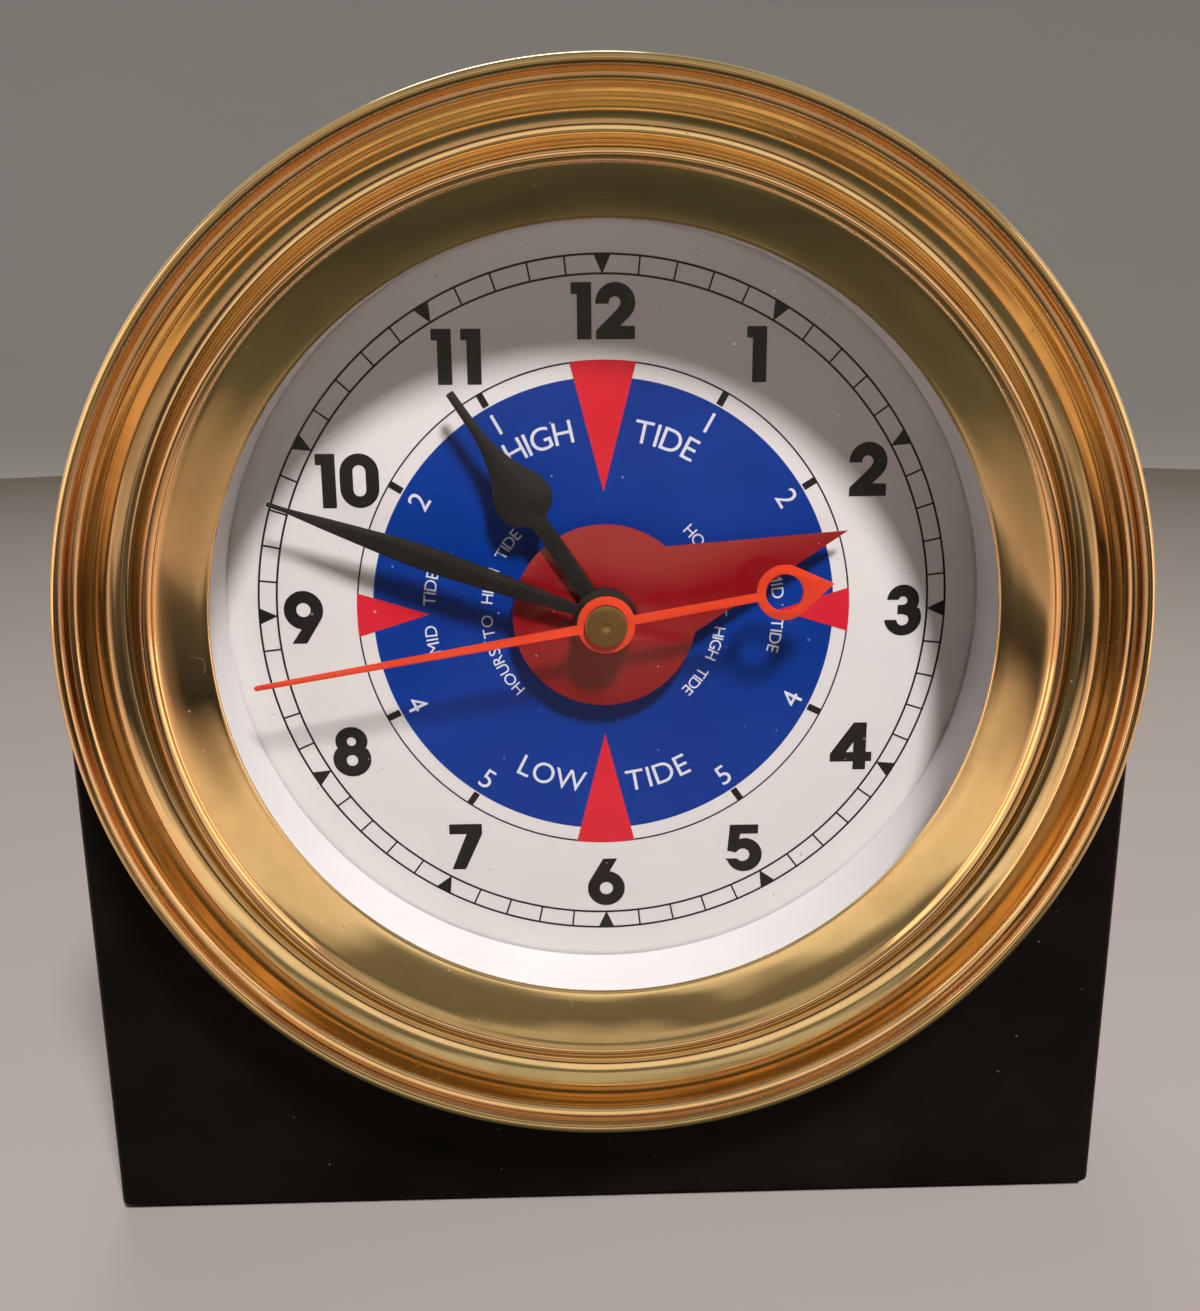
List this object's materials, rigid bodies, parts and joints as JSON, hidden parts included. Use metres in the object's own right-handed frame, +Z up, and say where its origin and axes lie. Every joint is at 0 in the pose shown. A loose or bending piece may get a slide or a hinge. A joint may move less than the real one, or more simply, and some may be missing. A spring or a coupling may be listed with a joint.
{
  "type": "ships deck clock",
  "caption": "Round polished-brass time-and-tide deck clock with a deep stepped bezel, a flat lens and a two-colour dial, seated in a black block stand.",
  "frame": {"origin": "middle of the underside of the stand's felt, under the middle of the whole object", "axes": "+X to the right of someone reading the dial, -Y out of the dial, +Z up"},
  "size_m": [0.15, 0.0534, 0.1615],
  "materials": {
    "brass_bezel": "polished, lightly worn, warm reflections",
    "brass_case": "satin turned brass",
    "brass_small": "turned, unpolished",
    "lens_glass": "clear flat crystal",
    "black_stand": "satin black paint on hardwood",
    "felt": "pressed felt",
    "steel": "plated",
    "rubber": "matte",
    "white_plastic": "smooth white",
    "black_plastic": "fine moulded texture",
    "red_plastic": "fine moulded texture",
    "acetal": "smooth natural acetal",
    "dial": "white printed dial, satin",
    "hand_black": "black enamel",
    "hand_red": "deep red enamel",
    "hand_orange": "orange-red enamel",
    "copper": "enamelled copper wire",
    "soft_iron": "dull laminate",
    "magnet": "dark sintered",
    "cell_wrap": "film-wrapped can",
    "board": "green solder mask",
    "resin": "black resin"
  },
  "bodies": {
    "case": {"stand_block": "black_stand", "stand_felt": "felt", "hold_down_washer": "steel", "hold_down_screw": "steel", "hold_down_nut": "steel", "bezel": "brass_bezel", "lens": "lens_glass", "lens_gasket": "rubber", "reflector_ring": "white_plastic", "case_drum": "brass_case", "bezel_set_screw_1": "steel", "bezel_set_screw_2": "steel", "bezel_set_screw_3": "steel", "back_plate": "brass_case", "back_screw_1": "steel", "back_screw_2": "steel", "back_screw_3": "steel", "back_screw_4": "steel", "dial_plate": "dial", "dial_clamp_ring": "brass_small", "dial_washer": "brass_small", "center_nut": "brass_small", "movement_pad": "rubber", "movement_front_cover": "black_plastic", "movement_rear_cover": "black_plastic", "movement_screw_1": "steel", "movement_screw_2": "steel", "movement_screw_3": "steel", "movement_screw_4": "steel", "train_plate": "white_plastic", "stator": "soft_iron", "coil_core": "soft_iron", "coil_bobbin": "white_plastic", "coil_winding": "copper", "circuit_board": "board", "driver_chip": "resin", "quartz_crystal": "steel", "contact_positive": "steel", "contact_negative": "steel"},
    "second_train": {"second_wheel": "acetal", "second_hand": "hand_orange", "second_hand_cap": "brass_small"},
    "rotor_body": {"rotor": "magnet"},
    "fifth_body": {"fifth_wheel": "acetal"},
    "third_body": {"third_wheel": "acetal"},
    "minute_body": {"center_wheel": "acetal", "minute_hand": "hand_black"},
    "minute_wheel_body": {"minute_wheel": "acetal"},
    "hour_body": {"hour_wheel": "acetal", "hour_hand": "hand_black"},
    "tide_idler_body": {"tide_idler": "acetal"},
    "tide_body": {"tide_wheel": "acetal", "tide_hand": "hand_red"},
    "time_knob_body": {"time_set_knob": "black_plastic"},
    "tide_knob_body": {"tide_set_knob": "red_plastic"},
    "battery_body": {"battery": "cell_wrap"}
  },
  "joints": [
    {"name": "second_hand_turn", "type": "hinge", "parent": "case", "child": "second_train", "pos_m": [0, -0.00365, 0.0915], "axis": [0, 1, 0], "continuous": true},
    {"name": "rotor_turn", "type": "hinge", "parent": "case", "child": "rotor_body", "pos_m": [0.00952, 0.01335, 0.10799], "axis": [0, 1, 0], "continuous": true},
    {"name": "fifth_wheel_turn", "type": "hinge", "parent": "case", "child": "fifth_body", "pos_m": [0.00532, 0.01135, 0.10071], "axis": [0, 1, 0], "continuous": true},
    {"name": "third_wheel_turn", "type": "hinge", "parent": "case", "child": "third_body", "pos_m": [-0.00953, 0.00835, 0.097], "axis": [0, 1, 0], "continuous": true},
    {"name": "minute_hand_turn", "type": "hinge", "parent": "case", "child": "minute_body", "pos_m": [0, -0.00365, 0.0915], "axis": [0, 1, 0], "continuous": true},
    {"name": "minute_wheel_turn", "type": "hinge", "parent": "case", "child": "minute_wheel_body", "pos_m": [-0.00959, 0.00435, 0.09194], "axis": [0, 1, 0], "continuous": true},
    {"name": "hour_hand_turn", "type": "hinge", "parent": "case", "child": "hour_body", "pos_m": [0, -0.00365, 0.0915], "axis": [0, 1, 0], "continuous": true},
    {"name": "tide_idler_turn", "type": "hinge", "parent": "case", "child": "tide_idler_body", "pos_m": [0.01472, 0.00135, 0.1], "axis": [0, 1, 0], "continuous": true},
    {"name": "tide_hand_turn", "type": "hinge", "parent": "case", "child": "tide_body", "pos_m": [0, -0.00365, 0.0915], "axis": [0, 1, 0], "continuous": true},
    {"name": "time_knob_turn", "type": "hinge", "parent": "case", "child": "time_knob_body", "pos_m": [-0.01446, 0.02235, 0.08297], "axis": [0, 1, 0], "continuous": true},
    {"name": "tide_knob_turn", "type": "hinge", "parent": "case", "child": "tide_knob_body", "pos_m": [0.01552, 0.02235, 0.08585], "axis": [0, 1, 0], "continuous": true},
    {"name": "battery_slide", "type": "slide", "parent": "case", "child": "battery_body", "axis": [0, 1, 0], "range_m": [0, 0.03]}
  ],
  "couplings": [
    {"joint": "rotor_turn", "follows": "second_hand_turn", "ratio": 30},
    {"joint": "fifth_wheel_turn", "follows": "second_hand_turn", "ratio": -6},
    {"joint": "third_wheel_turn", "follows": "second_hand_turn", "ratio": -0.13333},
    {"joint": "minute_hand_turn", "follows": "second_hand_turn", "ratio": 0.016667},
    {"joint": "minute_wheel_turn", "follows": "second_hand_turn", "ratio": -0.0055556},
    {"joint": "hour_hand_turn", "follows": "second_hand_turn", "ratio": 0.0013889},
    {"joint": "tide_idler_turn", "follows": "second_hand_turn", "ratio": -0.0065972},
    {"joint": "tide_hand_turn", "follows": "second_hand_turn", "ratio": 0.0013418},
    {"joint": "time_knob_turn", "follows": "second_hand_turn", "ratio": 0.013333},
    {"joint": "tide_knob_turn", "follows": "second_hand_turn", "ratio": -0.0079167}
  ]
}
